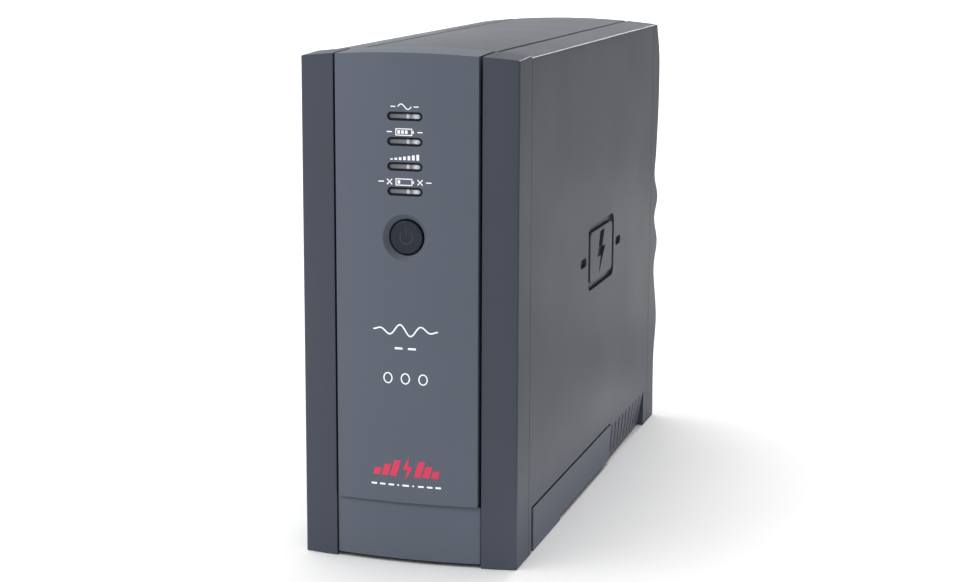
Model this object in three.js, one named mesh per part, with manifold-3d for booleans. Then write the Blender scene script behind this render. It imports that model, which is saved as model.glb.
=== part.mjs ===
// Tower uninterruptible power supply, in millimetres. X points right as seen from the front, Z points up.
// Everything is modelled with Y as depth behind the flat rails of the front bezel, and the whole case is then
// moved forward so that the origin is the middle of its footprint on the floor.

import * as THREE from "three";
import { mergeVertices } from "three/addons/utils/BufferGeometryUtils.js";
import Module from "manifold-3d";

const wasm = await Module();
wasm.setup();

// Case
const HALF_WIDTH = 55;
const EDGE_HEIGHT = 249; // top of the case along its two sides
const CROWN = 3.2; // rise of the middle of the top above its sides
const TOP_EDGE_RADIUS = 1;
const WALL = 2.5;
const PARTING = 0.5; // width of a parting line between two covers
const CLEARANCE = 0.3; // between pieces that touch
const OVERRUN = 5; // how far a cutting tool runs past the piece it cuts

// Front
const BEZEL_DEPTH = 25;
const BEZEL_STEP = 0.9; // the bezel's rear edge stands this far above the covers behind it
const RAIL_INNER_X = 37.6;
const RAIL_CORNER_RADIUS = 1.2;
const RAIL_SLOPE = 2.4; // outer edge of each rail behind its inner edge
const PANEL_HALF_WIDTH = 36;
const PANEL_EDGE_DEPTH = -1.4;
const PANEL_BULGE = 3.8; // middle of the front panel ahead of the rails
const LOWER_PANEL_TOP = 31;
const LOWER_PANEL_BOTTOM = 1.5;
const LOWER_PANEL_RECESS = 2.2; // lower panel behind the front panel
const WEB_DEPTH = 14; // plate behind the panels that ties the two rails together
const WEB_THICKNESS = 2.4;
const PANEL_REAR = 11; // rear of both panels' side flanges
const LAMP_HEIGHTS = { online: 221.9, on_battery: 209.8, overload: 197.8, replace_battery: 185.8 };
const LAMP_WIDTH = 17.6;
const LAMP_SLOT = 4;
const WINDOW_GAP = 0.85;
const BUTTON_HEIGHT = 163.3;
const BUTTON_RADIUS = 8.2;
const BUTTON_GAP = 0.85;
const BUTTON_FLANGE = 2; // rear of the flange that keeps the button in
const BUTTON_STEM = 5.4; // depth of the stem's end at rest
const COLLAR_REAR = 0.5; // rear of the ring that guides the button
const DISH_DEPTH = 2.8;
const DISH_RADIUS = 11.6;
const BUTTON_FACE = -1.8;
const BUTTON_TRAVEL = 1.2;

// Sides, top and underside
const TOP_GROOVE_X = 35.5;
const TOP_GROOVE = 1.8; // width of the two grooves along the top
const FLANGE_BOTTOM = 243; // lower edge of the flanges inside the top
const FLANGE = 2.2;
const SKIRT_TOP = 22.6;
const SKIRT_GROOVE = 1.4;
const DOOR_FRONT = 34.3;
const DOOR_REAR = 206.4;
const DOOR_PAD_REAR = 88.8;
const DOOR_PLATE_BOTTOM = 2.5;
const DOOR_PLATE = 2.1;
const FRONT_LEG_REAR = 30;
const RIB_COUNT = 9;
const RIB_PITCH = 9.4;
const FIRST_RIB = 212.8;
const RIB_SLOT = 2;
const RIB_WALL_REAR = 300;
const RIB_FOOT_FRONT = { lean: 1.6, bottom: 2.4 }; // the ribbed wall leans in more towards the back
const RIB_FOOT_REAR = { lean: 3.6, bottom: 0.6 };
const MARK = { depth: 177, height: 130.5, width: 62, rise: 36, stroke: 4.8, sink: 1.9 };

// Back
const REAR_COVER_FRONT = 310;
const REARMOST = 335;
const SOCKET_PANEL = 311.2;
const SOCKET_PANEL_WALL = 2.4;
const HOOD_WALL = 3.4;
const FACE_DEPTH = SOCKET_PANEL + SOCKET_PANEL_WALL + CLEARANCE + 1.6; // outer face of every socket
const OUTLET_HEIGHTS = [174, 142, 110];
const OUTLET_X = 24;
const INLET_HEIGHT = 74;
const BREAKER_TRAVEL = 3.5;
const PORT_HEIGHT = 214;

// Inside
const BAY_FRONT = 39.2;
const BAY_REAR = 202.2;
const BAY_TOP = 140.5;
const BAY_WALL = 2;
const BAY_CONNECTOR_TOP = BAY_TOP + 15;
const BATTERY = { width: 93.8, length: 151, thickness: 65, left: -49, front: 45.2, bottom: 6.6 };
const TRAY_FLOOR = 5;
const TRAY_WALL = 2.4;
const BOARD_X = -45;
const BOARD_THICKNESS = 1.6;
const CONTROL_BOARD_DEPTH = WEB_DEPTH - CLEARANCE - BOARD_THICKNESS;
const TRANSFORMER = { depth: 250.5, bottom: 8, stack: 22, halfLength: 37, height: 62 };

const HOUSING = { color: 0x565b63, roughness: 0.62, metalness: 0 };
const FINISHES = {
  housing: HOUSING,
  dark_plastic: { color: 0x23262b, roughness: 0.5, metalness: 0 },
  black_plastic: { color: 0x121316, roughness: 0.45, metalness: 0 },
  lens: { color: 0xaeb6bd, roughness: 0.15, metalness: 0 },
  circuit_board: { color: 0x1f6b3c, roughness: 0.5, metalness: 0 },
  aluminium: { color: 0xb4b7ba, roughness: 0.35, metalness: 1 },
  steel: { color: 0x9a9da1, roughness: 0.3, metalness: 1 },
  brass: { color: 0xc9a24a, roughness: 0.3, metalness: 1 },
  laminations: { color: 0x4a4744, roughness: 0.6, metalness: 0.6 },
  winding: { color: 0xb06a35, roughness: 0.45, metalness: 0.3 },
  battery_case: { color: 0x2e3034, roughness: 0.55, metalness: 0 },
  red_plastic: { color: 0xb3202a, roughness: 0.45, metalness: 0 },
  blue_plastic: { color: 0x24508f, roughness: 0.45, metalness: 0 },
  strap: { color: 0xd9d9d4, roughness: 0.8, metalness: 0 },
};

// ---- Solids ----

// A closed three.js geometry as a solid, turned right side out if it was mirrored.
function solidOf(geometry) {
  const bare = geometry.index ? geometry.toNonIndexed() : geometry.clone();
  bare.deleteAttribute("normal");
  bare.deleteAttribute("uv");
  const merged = mergeVertices(bare, 1e-4);
  const corners = [];
  for (let i = 0; i < merged.index.count; i += 3) {
    const [a, b, c] = [0, 1, 2].map((k) => merged.index.getX(i + k));
    if (a !== b && b !== c && c !== a) corners.push(a, b, c);
  }
  const build = (triangles) =>
    new wasm.Manifold(
      new wasm.Mesh({
        numProp: 3,
        vertProperties: new Float32Array(merged.attributes.position.array),
        triVerts: new Uint32Array(triangles),
      }),
    );
  const made = build(corners);
  return made.volume() < 0 ? build(corners.reverse()) : made;
}

function geometryOf(solid) {
  const { vertProperties, triVerts } = solid.getMesh();
  const geometry = new THREE.BufferGeometry();
  geometry.setAttribute("position", new THREE.BufferAttribute(vertProperties, 3));
  geometry.setIndex(new THREE.BufferAttribute(triVerts, 1));
  geometry.computeVertexNormals();
  return geometry;
}

const join = (first, ...others) => others.reduce((whole, piece) => whole.add(piece), first);
const cut = (first, ...tools) => tools.reduce((whole, tool) => whole.subtract(tool), first);
const mirrored = (solid) => solidOf(geometryOf(solid).scale(-1, 1, 1));

function block([x0, x1], [y0, y1], [z0, z1]) {
  const geometry = new THREE.BoxGeometry(x1 - x0, y1 - y0, z1 - z0);
  return solidOf(geometry.translate((x0 + x1) / 2, (y0 + y1) / 2, (z0 + z1) / 2));
}

// Outlines lie across an axis: (y, z) across x, (x, z) across y and (x, y) across z.
const ACROSS = {
  x: new THREE.Matrix4().set(0, 0, 1, 0, 1, 0, 0, 0, 0, 1, 0, 0, 0, 0, 0, 1),
  y: new THREE.Matrix4().set(1, 0, 0, 0, 0, 0, -1, 0, 0, 1, 0, 0, 0, 0, 0, 1),
  z: new THREE.Matrix4(),
};

function prismGeometry(axis, outline, from, to) {
  const shape = new THREE.Shape(outline.map(([u, v]) => new THREE.Vector2(u, v)));
  const geometry = new THREE.ExtrudeGeometry(shape, { depth: to - from, bevelEnabled: false });
  geometry.translate(0, 0, axis === "y" ? -to : from);
  return geometry.applyMatrix4(ACROSS[axis]);
}

const prism = (axis, outline, from, to) => solidOf(prismGeometry(axis, outline, from, to));

// Points on an arc, from one angle to another in turns.
function arc(u, v, radius, fromTurn, toTurn, steps) {
  return Array.from({ length: steps + 1 }, (_, i) => {
    const angle = 2 * Math.PI * (fromTurn + ((toTurn - fromTurn) * i) / steps);
    return [u + radius * Math.cos(angle), v + radius * Math.sin(angle)];
  });
}

const circle = (u, v, radius, steps = 24) => arc(u, v, radius, 0, 1, steps).slice(0, -1);

function slot(u, v, length, height, steps = 6) {
  const reach = (length - height) / 2;
  return [
    ...arc(u + reach, v, height / 2, -0.25, 0.25, steps),
    ...arc(u - reach, v, height / 2, 0.25, 0.75, steps),
  ];
}

function roundedRectangle(u, v, width, height, radius, steps = 3) {
  const [a, b] = [width / 2 - radius, height / 2 - radius];
  return [
    ...arc(u + a, v - b, radius, -0.25, 0, steps),
    ...arc(u + a, v + b, radius, 0, 0.25, steps),
    ...arc(u - a, v + b, radius, 0.25, 0.5, steps),
    ...arc(u - a, v - b, radius, 0.5, 0.75, steps),
  ];
}

// A solid of revolution about Y through (x, z): the profile is a list of [radius, depth] from axis to axis.
function turned(x, z, profile, segments = 24) {
  const points = profile.map(([radius, depth]) => new THREE.Vector2(radius, depth));
  return solidOf(new THREE.LatheGeometry(points, segments).translate(x, 0, z));
}

// A round wire or cable along a smooth curve through the given points.
function cable(points, radius, steps, sides = 8) {
  const path = new THREE.CatmullRomCurve3(points.map((point) => new THREE.Vector3(...point)));
  const section = new THREE.Shape(circle(0, 0, radius, sides).map(([u, v]) => new THREE.Vector2(u, v)));
  return solidOf(new THREE.ExtrudeGeometry(section, { steps, extrudePath: path }));
}

// A band of even thickness along a smooth line, as an outline.
function band(points, thickness, steps) {
  const line = new THREE.SplineCurve(points.map(([u, v]) => new THREE.Vector2(u, v)));
  const side = (sign) =>
    Array.from({ length: steps + 1 }, (_, i) => {
      const at = line.getPoint(i / steps);
      const along = line.getTangent(i / steps);
      return [at.x - (sign * along.y * thickness) / 2, at.y + (sign * along.x * thickness) / 2];
    });
  return [...side(-1), ...side(1).reverse()];
}

// ---- The group and its materials ----

const housing = new THREE.Group();
housing.name = "uninterruptible_power_supply";
const caseGroup = new THREE.Group();
caseGroup.position.y = -(REARMOST - PANEL_BULGE) / 2;
housing.add(caseGroup);

function add(name, solid, finish, [x, depth, z] = [0, 0, 0]) {
  const material = new THREE.MeshStandardMaterial({ name: finish, ...FINISHES[finish] });
  const mesh = new THREE.Mesh(geometryOf(solid), material);
  mesh.name = name;
  mesh.position.set(x, depth, z);
  caseGroup.add(mesh);
}

// ---- Case sections ----

const topAt = (x) => EDGE_HEIGHT + CROWN * (1 - (x / HALF_WIDTH) ** 2);

// Points along the crowned top from one x to another, lowered by inset.
function crownLine(from, to, inset, steps) {
  return Array.from({ length: steps + 1 }, (_, i) => {
    const x = from + ((to - from) * i) / steps;
    return [x, topAt(x) - inset];
  });
}

// Outline across the whole case, from a flat bottom to the crowned top, drawn inset from the outer skin.
function caseOutline(inset, bottom) {
  const side = HALF_WIDTH - inset;
  const shoulder = side - TOP_EDGE_RADIUS;
  const corner = (sign) => {
    const turns = sign > 0 ? [0, 0.25] : [0.25, 0.5];
    const centre = topAt(shoulder) - inset - TOP_EDGE_RADIUS;
    return arc(sign * shoulder, centre, TOP_EDGE_RADIUS, ...turns, 4);
  };
  return [
    [-side, bottom],
    [side, bottom],
    ...corner(1).slice(0, -1),
    ...crownLine(shoulder, -shoulder, inset, 14),
    ...corner(-1).slice(1),
  ];
}

// The space under the bezel's top, which climbs from the front edge to its step above the covers.
function bezelEnvelope(inset) {
  const geometry = prismGeometry("y", caseOutline(inset, -2 * OVERRUN), -OVERRUN, BEZEL_DEPTH + OVERRUN);
  const climb = new THREE.Matrix4().makeShear(0, 0, 0, BEZEL_STEP / BEZEL_DEPTH, 0, 0);
  return solidOf(geometry.applyMatrix4(climb));
}

// Depth of a curved panel at x: its middle stands ahead of its edges by the bulge.
const curveLine = (halfWidth, edge, bulge, steps) =>
  Array.from({ length: steps + 1 }, (_, i) => {
    const x = halfWidth * ((2 * i) / steps - 1);
    return [x, edge - bulge * (1 - (x / halfWidth) ** 2)];
  });

// ---- Front ----

function frontBezel() {
  const r = RAIL_CORNER_RADIUS;
  const rear = BEZEL_DEPTH - PARTING / 2;
  const outline = [
    [RAIL_INNER_X, 0],
    [(RAIL_INNER_X + HALF_WIDTH) / 2, RAIL_SLOPE * 0.42],
    ...arc(HALF_WIDTH - r, RAIL_SLOPE + r, r, -0.23, 0, 4),
    [HALF_WIDTH, rear],
    [RAIL_INNER_X, rear],
  ];
  const bar = prism("z", outline, 0, EDGE_HEIGHT + 2 * CROWN).intersect(bezelEnvelope(0));
  const behind = BEZEL_DEPTH + OVERRUN;
  const [near, far] = [RAIL_INNER_X + FLANGE, HALF_WIDTH - WALL];
  const cavity = [[near, WALL + 0.5], [far, WALL + RAIL_SLOPE], [far, behind], [near, behind]];
  const rail = cut(bar, prism("z", cavity, WALL, FLANGE_BOTTOM + 2));
  const reach = [-RAIL_INNER_X - 1, RAIL_INNER_X + 1];
  const web = block(reach, [WEB_DEPTH, WEB_DEPTH + WEB_THICKNESS], [3, 240]);
  const through = [WEB_DEPTH - 1, WEB_DEPTH + OVERRUN];
  const lighteningHole = block([-14, 14], through, [60, 130]);
  const ribbonWindow = block([-30, -8], through, [192, 222]);
  const sill = block(reach, [12, rear], [2.4, 4.6]);
  return cut(join(rail, mirrored(rail), web, sill), lighteningHole, ribbonWindow);
}

const lampSlot = (height) => prism("y", slot(0, height, LAMP_WIDTH, LAMP_SLOT), -OVERRUN, OVERRUN);

function buttonDish() {
  const mouth = DISH_RADIUS + OVERRUN;
  const throat = BUTTON_RADIUS + BUTTON_GAP;
  return turned(0, BUTTON_HEIGHT, [
    [0, -PANEL_BULGE - OVERRUN],
    [mouth, -PANEL_BULGE - OVERRUN],
    [DISH_RADIUS, -PANEL_BULGE],
    [throat, -PANEL_BULGE + DISH_DEPTH],
    [throat, OVERRUN],
    [0, OVERRUN],
  ], 40);
}

function frontPanel() {
  const edge = PANEL_EDGE_DEPTH;
  const bulge = PANEL_BULGE + edge;
  const rear = BEZEL_DEPTH - PARTING / 2;
  const half = PANEL_HALF_WIDTH;
  const inner = half - FLANGE;
  const face = curveLine(half, edge, bulge, 20);
  const skin = curveLine(inner, edge + WALL - 0.4, bulge - 0.4, 12);
  const above = EDGE_HEIGHT + 2 * OVERRUN;
  const bottom = LOWER_PANEL_TOP + PARTING / 2;
  const blank = prism("z", [...face, [half, rear], [-half, rear]], bottom, above);
  const outside = blank.intersect(bezelEnvelope(0));
  const hollow = prism("z", [...skin, [inner, rear + OVERRUN], [-inner, rear + OVERRUN]], 0, above);
  const behind = block([-HALF_WIDTH, HALF_WIDTH], [PANEL_REAR, rear + OVERRUN], [0, FLANGE_BOTTOM]);
  const skinned = cut(outside, hollow.intersect(bezelEnvelope(WALL)), behind);
  const collar = prism("y", circle(0, BUTTON_HEIGHT, DISH_RADIUS + 1.4, 40), -PANEL_BULGE + 1, COLLAR_REAR);
  return cut(join(skinned, collar), buttonDish(), ...Object.values(LAMP_HEIGHTS).map(lampSlot));
}

function lowerFrontPanel() {
  const halfWidth = RAIL_INNER_X - 0.4;
  const edge = PANEL_EDGE_DEPTH + LOWER_PANEL_RECESS;
  const bulge = PANEL_BULGE + PANEL_EDGE_DEPTH + 0.3;
  const inner = halfWidth - FLANGE;
  const behind = PANEL_REAR + OVERRUN;
  const face = curveLine(halfWidth, edge, bulge, 20);
  const skin = curveLine(inner, edge + WALL - 0.4, bulge - 0.4, 12);
  const outer = [...face, [halfWidth, PANEL_REAR], [-halfWidth, PANEL_REAR]];
  const hollow = [...skin, [inner, behind], [-inner, behind]];
  const top = LOWER_PANEL_TOP - PARTING / 2;
  const [floor, roof] = [LOWER_PANEL_BOTTOM + WALL, top - 2];
  return cut(prism("z", outer, LOWER_PANEL_BOTTOM, top), prism("z", hollow, floor, roof));
}

// A lamp window: a clear bar that fills its slot, with a flange behind the panel. Its origin is its centre.
function lampWindow() {
  const [length, height] = [LAMP_WIDTH - 2 * WINDOW_GAP, LAMP_SLOT - 2 * WINDOW_GAP];
  const bar = prism("y", slot(0, 0, length, height), -PANEL_BULGE + 0.6, 0.8);
  return join(bar, prism("y", slot(0, 0, LAMP_WIDTH + 1.8, LAMP_SLOT + 1.6), 0.4, 1.6));
}

// A lamp, pointing forward, on legs that reach its board. Its origin is on the window's axis.
function statusLamp() {
  const dome = arc(0, 3.4, 1.5, -0.25, 0, 4);
  const base = CONTROL_BOARD_DEPTH - CLEARANCE;
  return turned(0, 0, [...dome, [1.5, 7], [1.9, 7], [1.9, 8], [0.9, 8], [0.9, base], [0, base]], 12);
}

function powerButton() {
  const flange = BUTTON_RADIUS + BUTTON_GAP + 1;
  return turned(0, BUTTON_HEIGHT, [
    [0, BUTTON_FACE + 0.5],
    [4, BUTTON_FACE + 0.35],
    [BUTTON_RADIUS - 0.7, BUTTON_FACE],
    [BUTTON_RADIUS - 0.2, BUTTON_FACE + 0.2],
    [BUTTON_RADIUS, BUTTON_FACE + 0.7],
    [BUTTON_RADIUS, COLLAR_REAR + CLEARANCE],
    [flange, COLLAR_REAR + CLEARANCE],
    [flange, BUTTON_FLANGE],
    [2.2, BUTTON_FLANGE],
    [2.2, BUTTON_STEM],
    [0, BUTTON_STEM],
  ], 40);
}

function buttonSpring() {
  const [radius, wire, turns, steps] = [6, 0.3, 4, 12];
  const front = BUTTON_FLANGE + CLEARANCE + 0.1 + wire;
  const rear = CONTROL_BOARD_DEPTH - 2 * CLEARANCE - wire;
  const coil = Array.from({ length: turns * steps + 1 }, (_, i) => {
    const angle = (2 * Math.PI * i) / steps;
    const depth = front + ((rear - front) * i) / (turns * steps);
    return [radius * Math.cos(angle), depth, BUTTON_HEIGHT + radius * Math.sin(angle)];
  });
  return cable(coil, wire, turns * steps, 5);
}

function powerSwitch() {
  const base = CONTROL_BOARD_DEPTH - CLEARANCE;
  const body = block([-3, 3], [base - 3.5, base], [BUTTON_HEIGHT - 3, BUTTON_HEIGHT + 3]);
  const plunger = BUTTON_STEM + BUTTON_TRAVEL + 0.2;
  return join(body, prism("y", circle(0, BUTTON_HEIGHT, 1.6, 12), plunger, base - 3));
}

function addFront() {
  add("front_bezel", frontBezel(), "housing");
  add("front_panel", frontPanel(), "housing");
  add("lower_front_panel", lowerFrontPanel(), "housing");
  const [window, lamp] = [lampWindow(), statusLamp()];
  for (const [name, height] of Object.entries(LAMP_HEIGHTS)) {
    add(`${name}_lamp_window`, window, "lens", [0, 0, height]);
    add(`${name}_lamp`, lamp, "lens", [0, 0, height]);
  }
  add("power_button", powerButton(), "dark_plastic");
  add("power_button_spring", buttonSpring(), "steel");
  add("power_switch", powerSwitch(), "black_plastic");
  const board = [CONTROL_BOARD_DEPTH, CONTROL_BOARD_DEPTH + BOARD_THICKNESS];
  add("control_board", block([-30, 30], board, [148, 234]), "circuit_board");
  const [x, height] = [20, 176];
  const can = prism("y", circle(x, height, 6), CONTROL_BOARD_DEPTH - 7.5, CONTROL_BOARD_DEPTH - CLEARANCE);
  const soundHole = prism("y", circle(x, height, 1.2, 10), 0, CONTROL_BOARD_DEPTH - 4);
  add("buzzer", cut(can, soundHole), "black_plastic");
}

// ---- Sides, top and underside ----

// A sunk mark on the side: a battery outline with a flash in it, between two bars.
function sideMark() {
  const { depth, height, width, rise, stroke, sink } = MARK;
  const reach = [HALF_WIDTH - sink, HALF_WIDTH + OVERRUN];
  const inside = roundedRectangle(depth, height, width - 2 * stroke, rise - 1.7 * stroke, 3);
  const frame = cut(
    prism("x", roundedRectangle(depth, height, width, rise, 5), ...reach),
    prism("x", inside, 0, HALF_WIDTH + 2 * OVERRUN),
  );
  const flash = [[-3, 12], [7.5, 12], [2.5, 2.6], [10, 2.6], [-5.5, -12], [-1.4, -2], [-9, -2]];
  const bolt = prism("x", flash.map(([u, v]) => [depth + u, height + v]), ...reach);
  const bars = [-1, 1].map((sign) =>
    prism("x", slot(depth + sign * (width / 2 + 11), height, 13, 5), ...reach));
  return [frame, bolt, ...bars];
}

// The leaning wall between the battery cover and the rear leg, as a hull from its front end to its rear end.
function ribbedWall(top) {
  const ends = [
    { at: DOOR_REAR + PARTING, ...RIB_FOOT_FRONT },
    { at: RIB_WALL_REAR + 1, ...RIB_FOOT_REAR },
  ];
  const wall = ends.flatMap(({ at, lean, bottom }) => [
    [HALF_WIDTH, at, top],
    [HALF_WIDTH, at, SKIRT_TOP],
    [HALF_WIDTH - lean, at, bottom],
    [HALF_WIDTH - lean - WALL, at, bottom],
    [HALF_WIDTH - WALL, at, top],
  ]);
  const slots = Array.from({ length: RIB_COUNT }, (_, i) => {
    const at = FIRST_RIB + i * RIB_PITCH;
    const deepest = HALF_WIDTH - 2 * RIB_FOOT_REAR.lean - WALL;
    return block([deepest, HALF_WIDTH + 1], [at - RIB_SLOT / 2, at + RIB_SLOT / 2], [4.2, 21.4]);
  });
  return cut(wasm.Manifold.hull(wall), ...slots);
}

// Right side shell: the wall, its top strip out to the groove, the two legs and the leaning wall.
function sideShell() {
  const inner = HALF_WIDTH - WALL;
  const strip = TOP_GROOVE_X + TOP_GROOVE / 2;
  const bottom = SKIRT_TOP + SKIRT_GROOVE;
  const shoulder = HALF_WIDTH - TOP_EDGE_RADIUS;
  const corner = arc(shoulder, topAt(shoulder) - TOP_EDGE_RADIUS, TOP_EDGE_RADIUS, 0, 0.25, 4);
  const section = [
    [strip, FLANGE_BOTTOM],
    [strip + WALL, FLANGE_BOTTOM],
    ...crownLine(strip + WALL, inner, WALL, 3),
    [inner, bottom],
    [HALF_WIDTH, bottom],
    ...corner.slice(0, -1),
    ...crownLine(shoulder, strip, 0, 5),
  ];
  const [front, rear] = [BEZEL_DEPTH + PARTING / 2, REAR_COVER_FRONT - PARTING / 2];
  const legFace = HALF_WIDTH - WALL - RIB_FOOT_REAR.lean;
  const shell = join(
    prism("y", section, front, rear),
    block([inner, HALF_WIDTH], [front, FRONT_LEG_REAR], [0, bottom + 1]),
    block([inner, HALF_WIDTH], [RIB_WALL_REAR, rear], [0, bottom + 1]),
    block([legFace, HALF_WIDTH], [RIB_WALL_REAR, RIB_WALL_REAR + WALL], [0, SKIRT_TOP]),
    ribbedWall(bottom + 1),
  );
  return cut(shell, ...sideMark());
}

function topCover() {
  const half = TOP_GROOVE_X - TOP_GROOVE / 2;
  const section = [
    [-half, FLANGE_BOTTOM],
    [-half + FLANGE, FLANGE_BOTTOM],
    ...crownLine(-half + FLANGE, half - FLANGE, WALL, 10),
    [half - FLANGE, FLANGE_BOTTOM],
    [half, FLANGE_BOTTOM],
    ...crownLine(half, -half, 0, 12),
  ];
  return prism("y", section, BEZEL_DEPTH + PARTING / 2, REAR_COVER_FRONT - PARTING / 2);
}

// Floor tray: a channel under the front and one under the transformer, tied by two long rails.
function baseTray() {
  const [outer, inner] = [47.8, 47.8 - TRAY_WALL];
  const [shelf, lip] = [SKIRT_TOP + TRAY_WALL, 52];
  const [front, rear] = [27, 298];
  const half = [
    [outer, TRAY_FLOOR],
    [outer, shelf],
    [lip, shelf],
    [lip, shelf + 2],
    [inner, shelf + 2],
    [inner, TRAY_FLOOR + TRAY_WALL],
  ];
  const channel = [...half, ...half.map(([x, z]) => [-x, z]).reverse()];
  const rail = block([lip - 1.8, lip], [front, rear], [shelf, shelf + 6]);
  return join(
    prism("y", channel, front, BAY_FRONT - 0.7),
    prism("y", channel, BAY_REAR + 2.2, rear),
    rail,
    mirrored(rail),
  );
}

// Battery compartment cover: skirts on both sides, a floor plate and a pair of pads that meet the ground.
function batteryDoor() {
  const inner = HALF_WIDTH - WALL;
  const skirt = [
    [DOOR_FRONT, 0],
    [DOOR_PAD_REAR, 0],
    [DOOR_PAD_REAR + 1.5, DOOR_PLATE_BOTTOM],
    [202, DOOR_PLATE_BOTTOM],
    [DOOR_REAR, DOOR_PLATE_BOTTOM + 0.9],
    [DOOR_REAR, SKIRT_TOP],
    [DOOR_FRONT, SKIRT_TOP],
  ];
  const side = join(
    prism("x", skirt, inner, HALF_WIDTH),
    block([40, HALF_WIDTH - 0.5], [DOOR_FRONT, DOOR_PAD_REAR], [0, DOOR_PLATE_BOTTOM + 1]),
    ...[60, 120, 180].map((at) => block([50.4, inner + 0.5], [at - 6, at + 6], [3.5, SKIRT_TOP + 1])),
  );
  const levels = [DOOR_PLATE_BOTTOM, DOOR_PLATE_BOTTOM + DOOR_PLATE];
  const plate = block([-inner - 0.5, inner + 0.5], [DOOR_FRONT, 200], levels);
  const grips = [140, 148, 156, 164, 172].map((at) =>
    prism("z", slot(0, at, 60, 3, 4), DOOR_PLATE_BOTTOM - 1, DOOR_PLATE_BOTTOM + 0.5));
  return join(side, mirrored(side), plate, ...grips);
}

function batteryBay() {
  const half = 49.6;
  const levels = [TRAY_FLOOR + TRAY_WALL + CLEARANCE, BAY_TOP + BAY_WALL];
  const box = block([-half, half], [BAY_FRONT, BAY_REAR], levels);
  const hollow = block([-60, 60], [BAY_FRONT + BAY_WALL, BAY_REAR - BAY_WALL], [0, BAY_TOP]);
  const connectorHole = block([-20, 20], [104, 136], [BAY_TOP - 1, BAY_TOP + OVERRUN]);
  return cut(box, hollow, connectorHole);
}

function addCovers() {
  const shell = sideShell();
  add("right_side_shell", shell, "housing");
  add("left_side_shell", mirrored(shell), "housing");
  add("top_cover", topCover(), "housing");
  add("base_tray", baseTray(), "steel");
  add("battery_bay", batteryBay(), "dark_plastic");
  add("battery_door", batteryDoor(), "housing");
}

// ---- Back ----

// Rear edge of the wings, from the ground up, as [depth, height]: three finger scallops between crests.
const REAR_EDGE = [
  [329, 0], [328.8, 38], [334.6, 64], [324.3, 95], [332.6, 112], [323.2, 128],
  [331.8, 141], [322, 155], [325.7, 171], [330, 200], [329.8, 229], [321.6, 248],
];

function rearEdgeLine(steps) {
  const curve = new THREE.SplineCurve(REAR_EDGE.map(([depth, height]) => new THREE.Vector2(depth, height)));
  return curve.getPoints(steps).map((point) => [Math.min(point.x, REARMOST), point.y]);
}

function rearCover(holes) {
  const front = REAR_COVER_FRONT + PARTING / 2;
  const ring = cut(
    prism("y", caseOutline(0, 0), front, REARMOST + 1),
    prism("y", caseOutline(HOOD_WALL, HOOD_WALL), front - 1, REARMOST + 2),
  );
  const [foot, crest] = [REAR_EDGE[0][0], REAR_EDGE.at(-1)[0]];
  const above = EDGE_HEIGHT + 2 * OVERRUN;
  const reach = [[300, -OVERRUN], [foot, -OVERRUN], ...rearEdgeLine(66), [crest, above], [300, above]];
  const hood = ring.intersect(prism("x", reach, -HALF_WIDTH - 1, HALF_WIDTH + 1));
  const inner = HALF_WIDTH - HOOD_WALL + 1;
  const plate = [SOCKET_PANEL, SOCKET_PANEL + SOCKET_PANEL_WALL];
  const panel = block([-inner, inner], plate, [HOOD_WALL - 1, EDGE_HEIGHT - 2]);
  const grooves = [-1, 1].map((sign) => {
    const edges = [sign * TOP_GROOVE_X - TOP_GROOVE / 2, sign * TOP_GROOVE_X + TOP_GROOVE / 2];
    return block(edges, [front - 1, REARMOST + 1], [EDGE_HEIGHT + 0.5, above]);
  });
  const vents = Array.from({ length: 11 }, (_, i) => {
    const x = 7.6 * (i - 5);
    return prism("y", roundedRectangle(x, 32, 2.6, 26, 1.2), 300, 320);
  });
  return cut(join(hood, panel), ...grooves, ...vents, ...holes);
}

// The keyed outline of an appliance coupler: a rectangle with its two lower corners cut off.
function couplerOutline(width, height, x = 0, z = 0) {
  const [a, b, chamfer] = [width / 2, height / 2, height / 4];
  return [
    [a - chamfer, -b], [a, -b + chamfer], [a, b], [-a, b], [-a, -b + chamfer], [-a + chamfer, -b],
  ].map(([u, v]) => [u + x, v + z]);
}

const SOCKET_BODY = { width: 28.4, height: 21.4, rear: 293, floor: 301 };
const SOCKET_FLANGE = { width: 34, height: 27 };

// Body and flange shared by the outlets and the inlet, about their own centre.
function socketBlock() {
  const { width, height, rear } = SOCKET_BODY;
  const seat = SOCKET_PANEL + SOCKET_PANEL_WALL + CLEARANCE;
  return join(
    prism("y", roundedRectangle(0, 0, width, height, 1.5, 2), rear, seat + 0.5),
    prism("y", roundedRectangle(0, 0, SOCKET_FLANGE.width, SOCKET_FLANGE.height, 2.5), seat, FACE_DEPTH),
  );
}

const contactSlots = (from, to, width, height) =>
  [[-7, -1.4], [7, -1.4], [0, 3]].map(([x, z]) =>
    block([x - width / 2, x + width / 2], [from, to], [z - height / 2, z + height / 2]));

function outlet() {
  const { floor } = SOCKET_BODY;
  const moat = cut(
    prism("y", couplerOutline(24.6, 16.8), floor, FACE_DEPTH + 1),
    prism("y", couplerOutline(18.6, 10.8), floor - 1, FACE_DEPTH + 2),
  );
  return cut(socketBlock(), moat, ...contactSlots(floor + 2, FACE_DEPTH + 1, 2.2, 4.2));
}

function powerInlet() {
  const { floor } = SOCKET_BODY;
  const well = prism("y", couplerOutline(25, 17.4), floor, FACE_DEPTH + 1);
  return join(cut(socketBlock(), well), ...contactSlots(floor - 1, FACE_DEPTH - 2, 2, 4));
}

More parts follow.
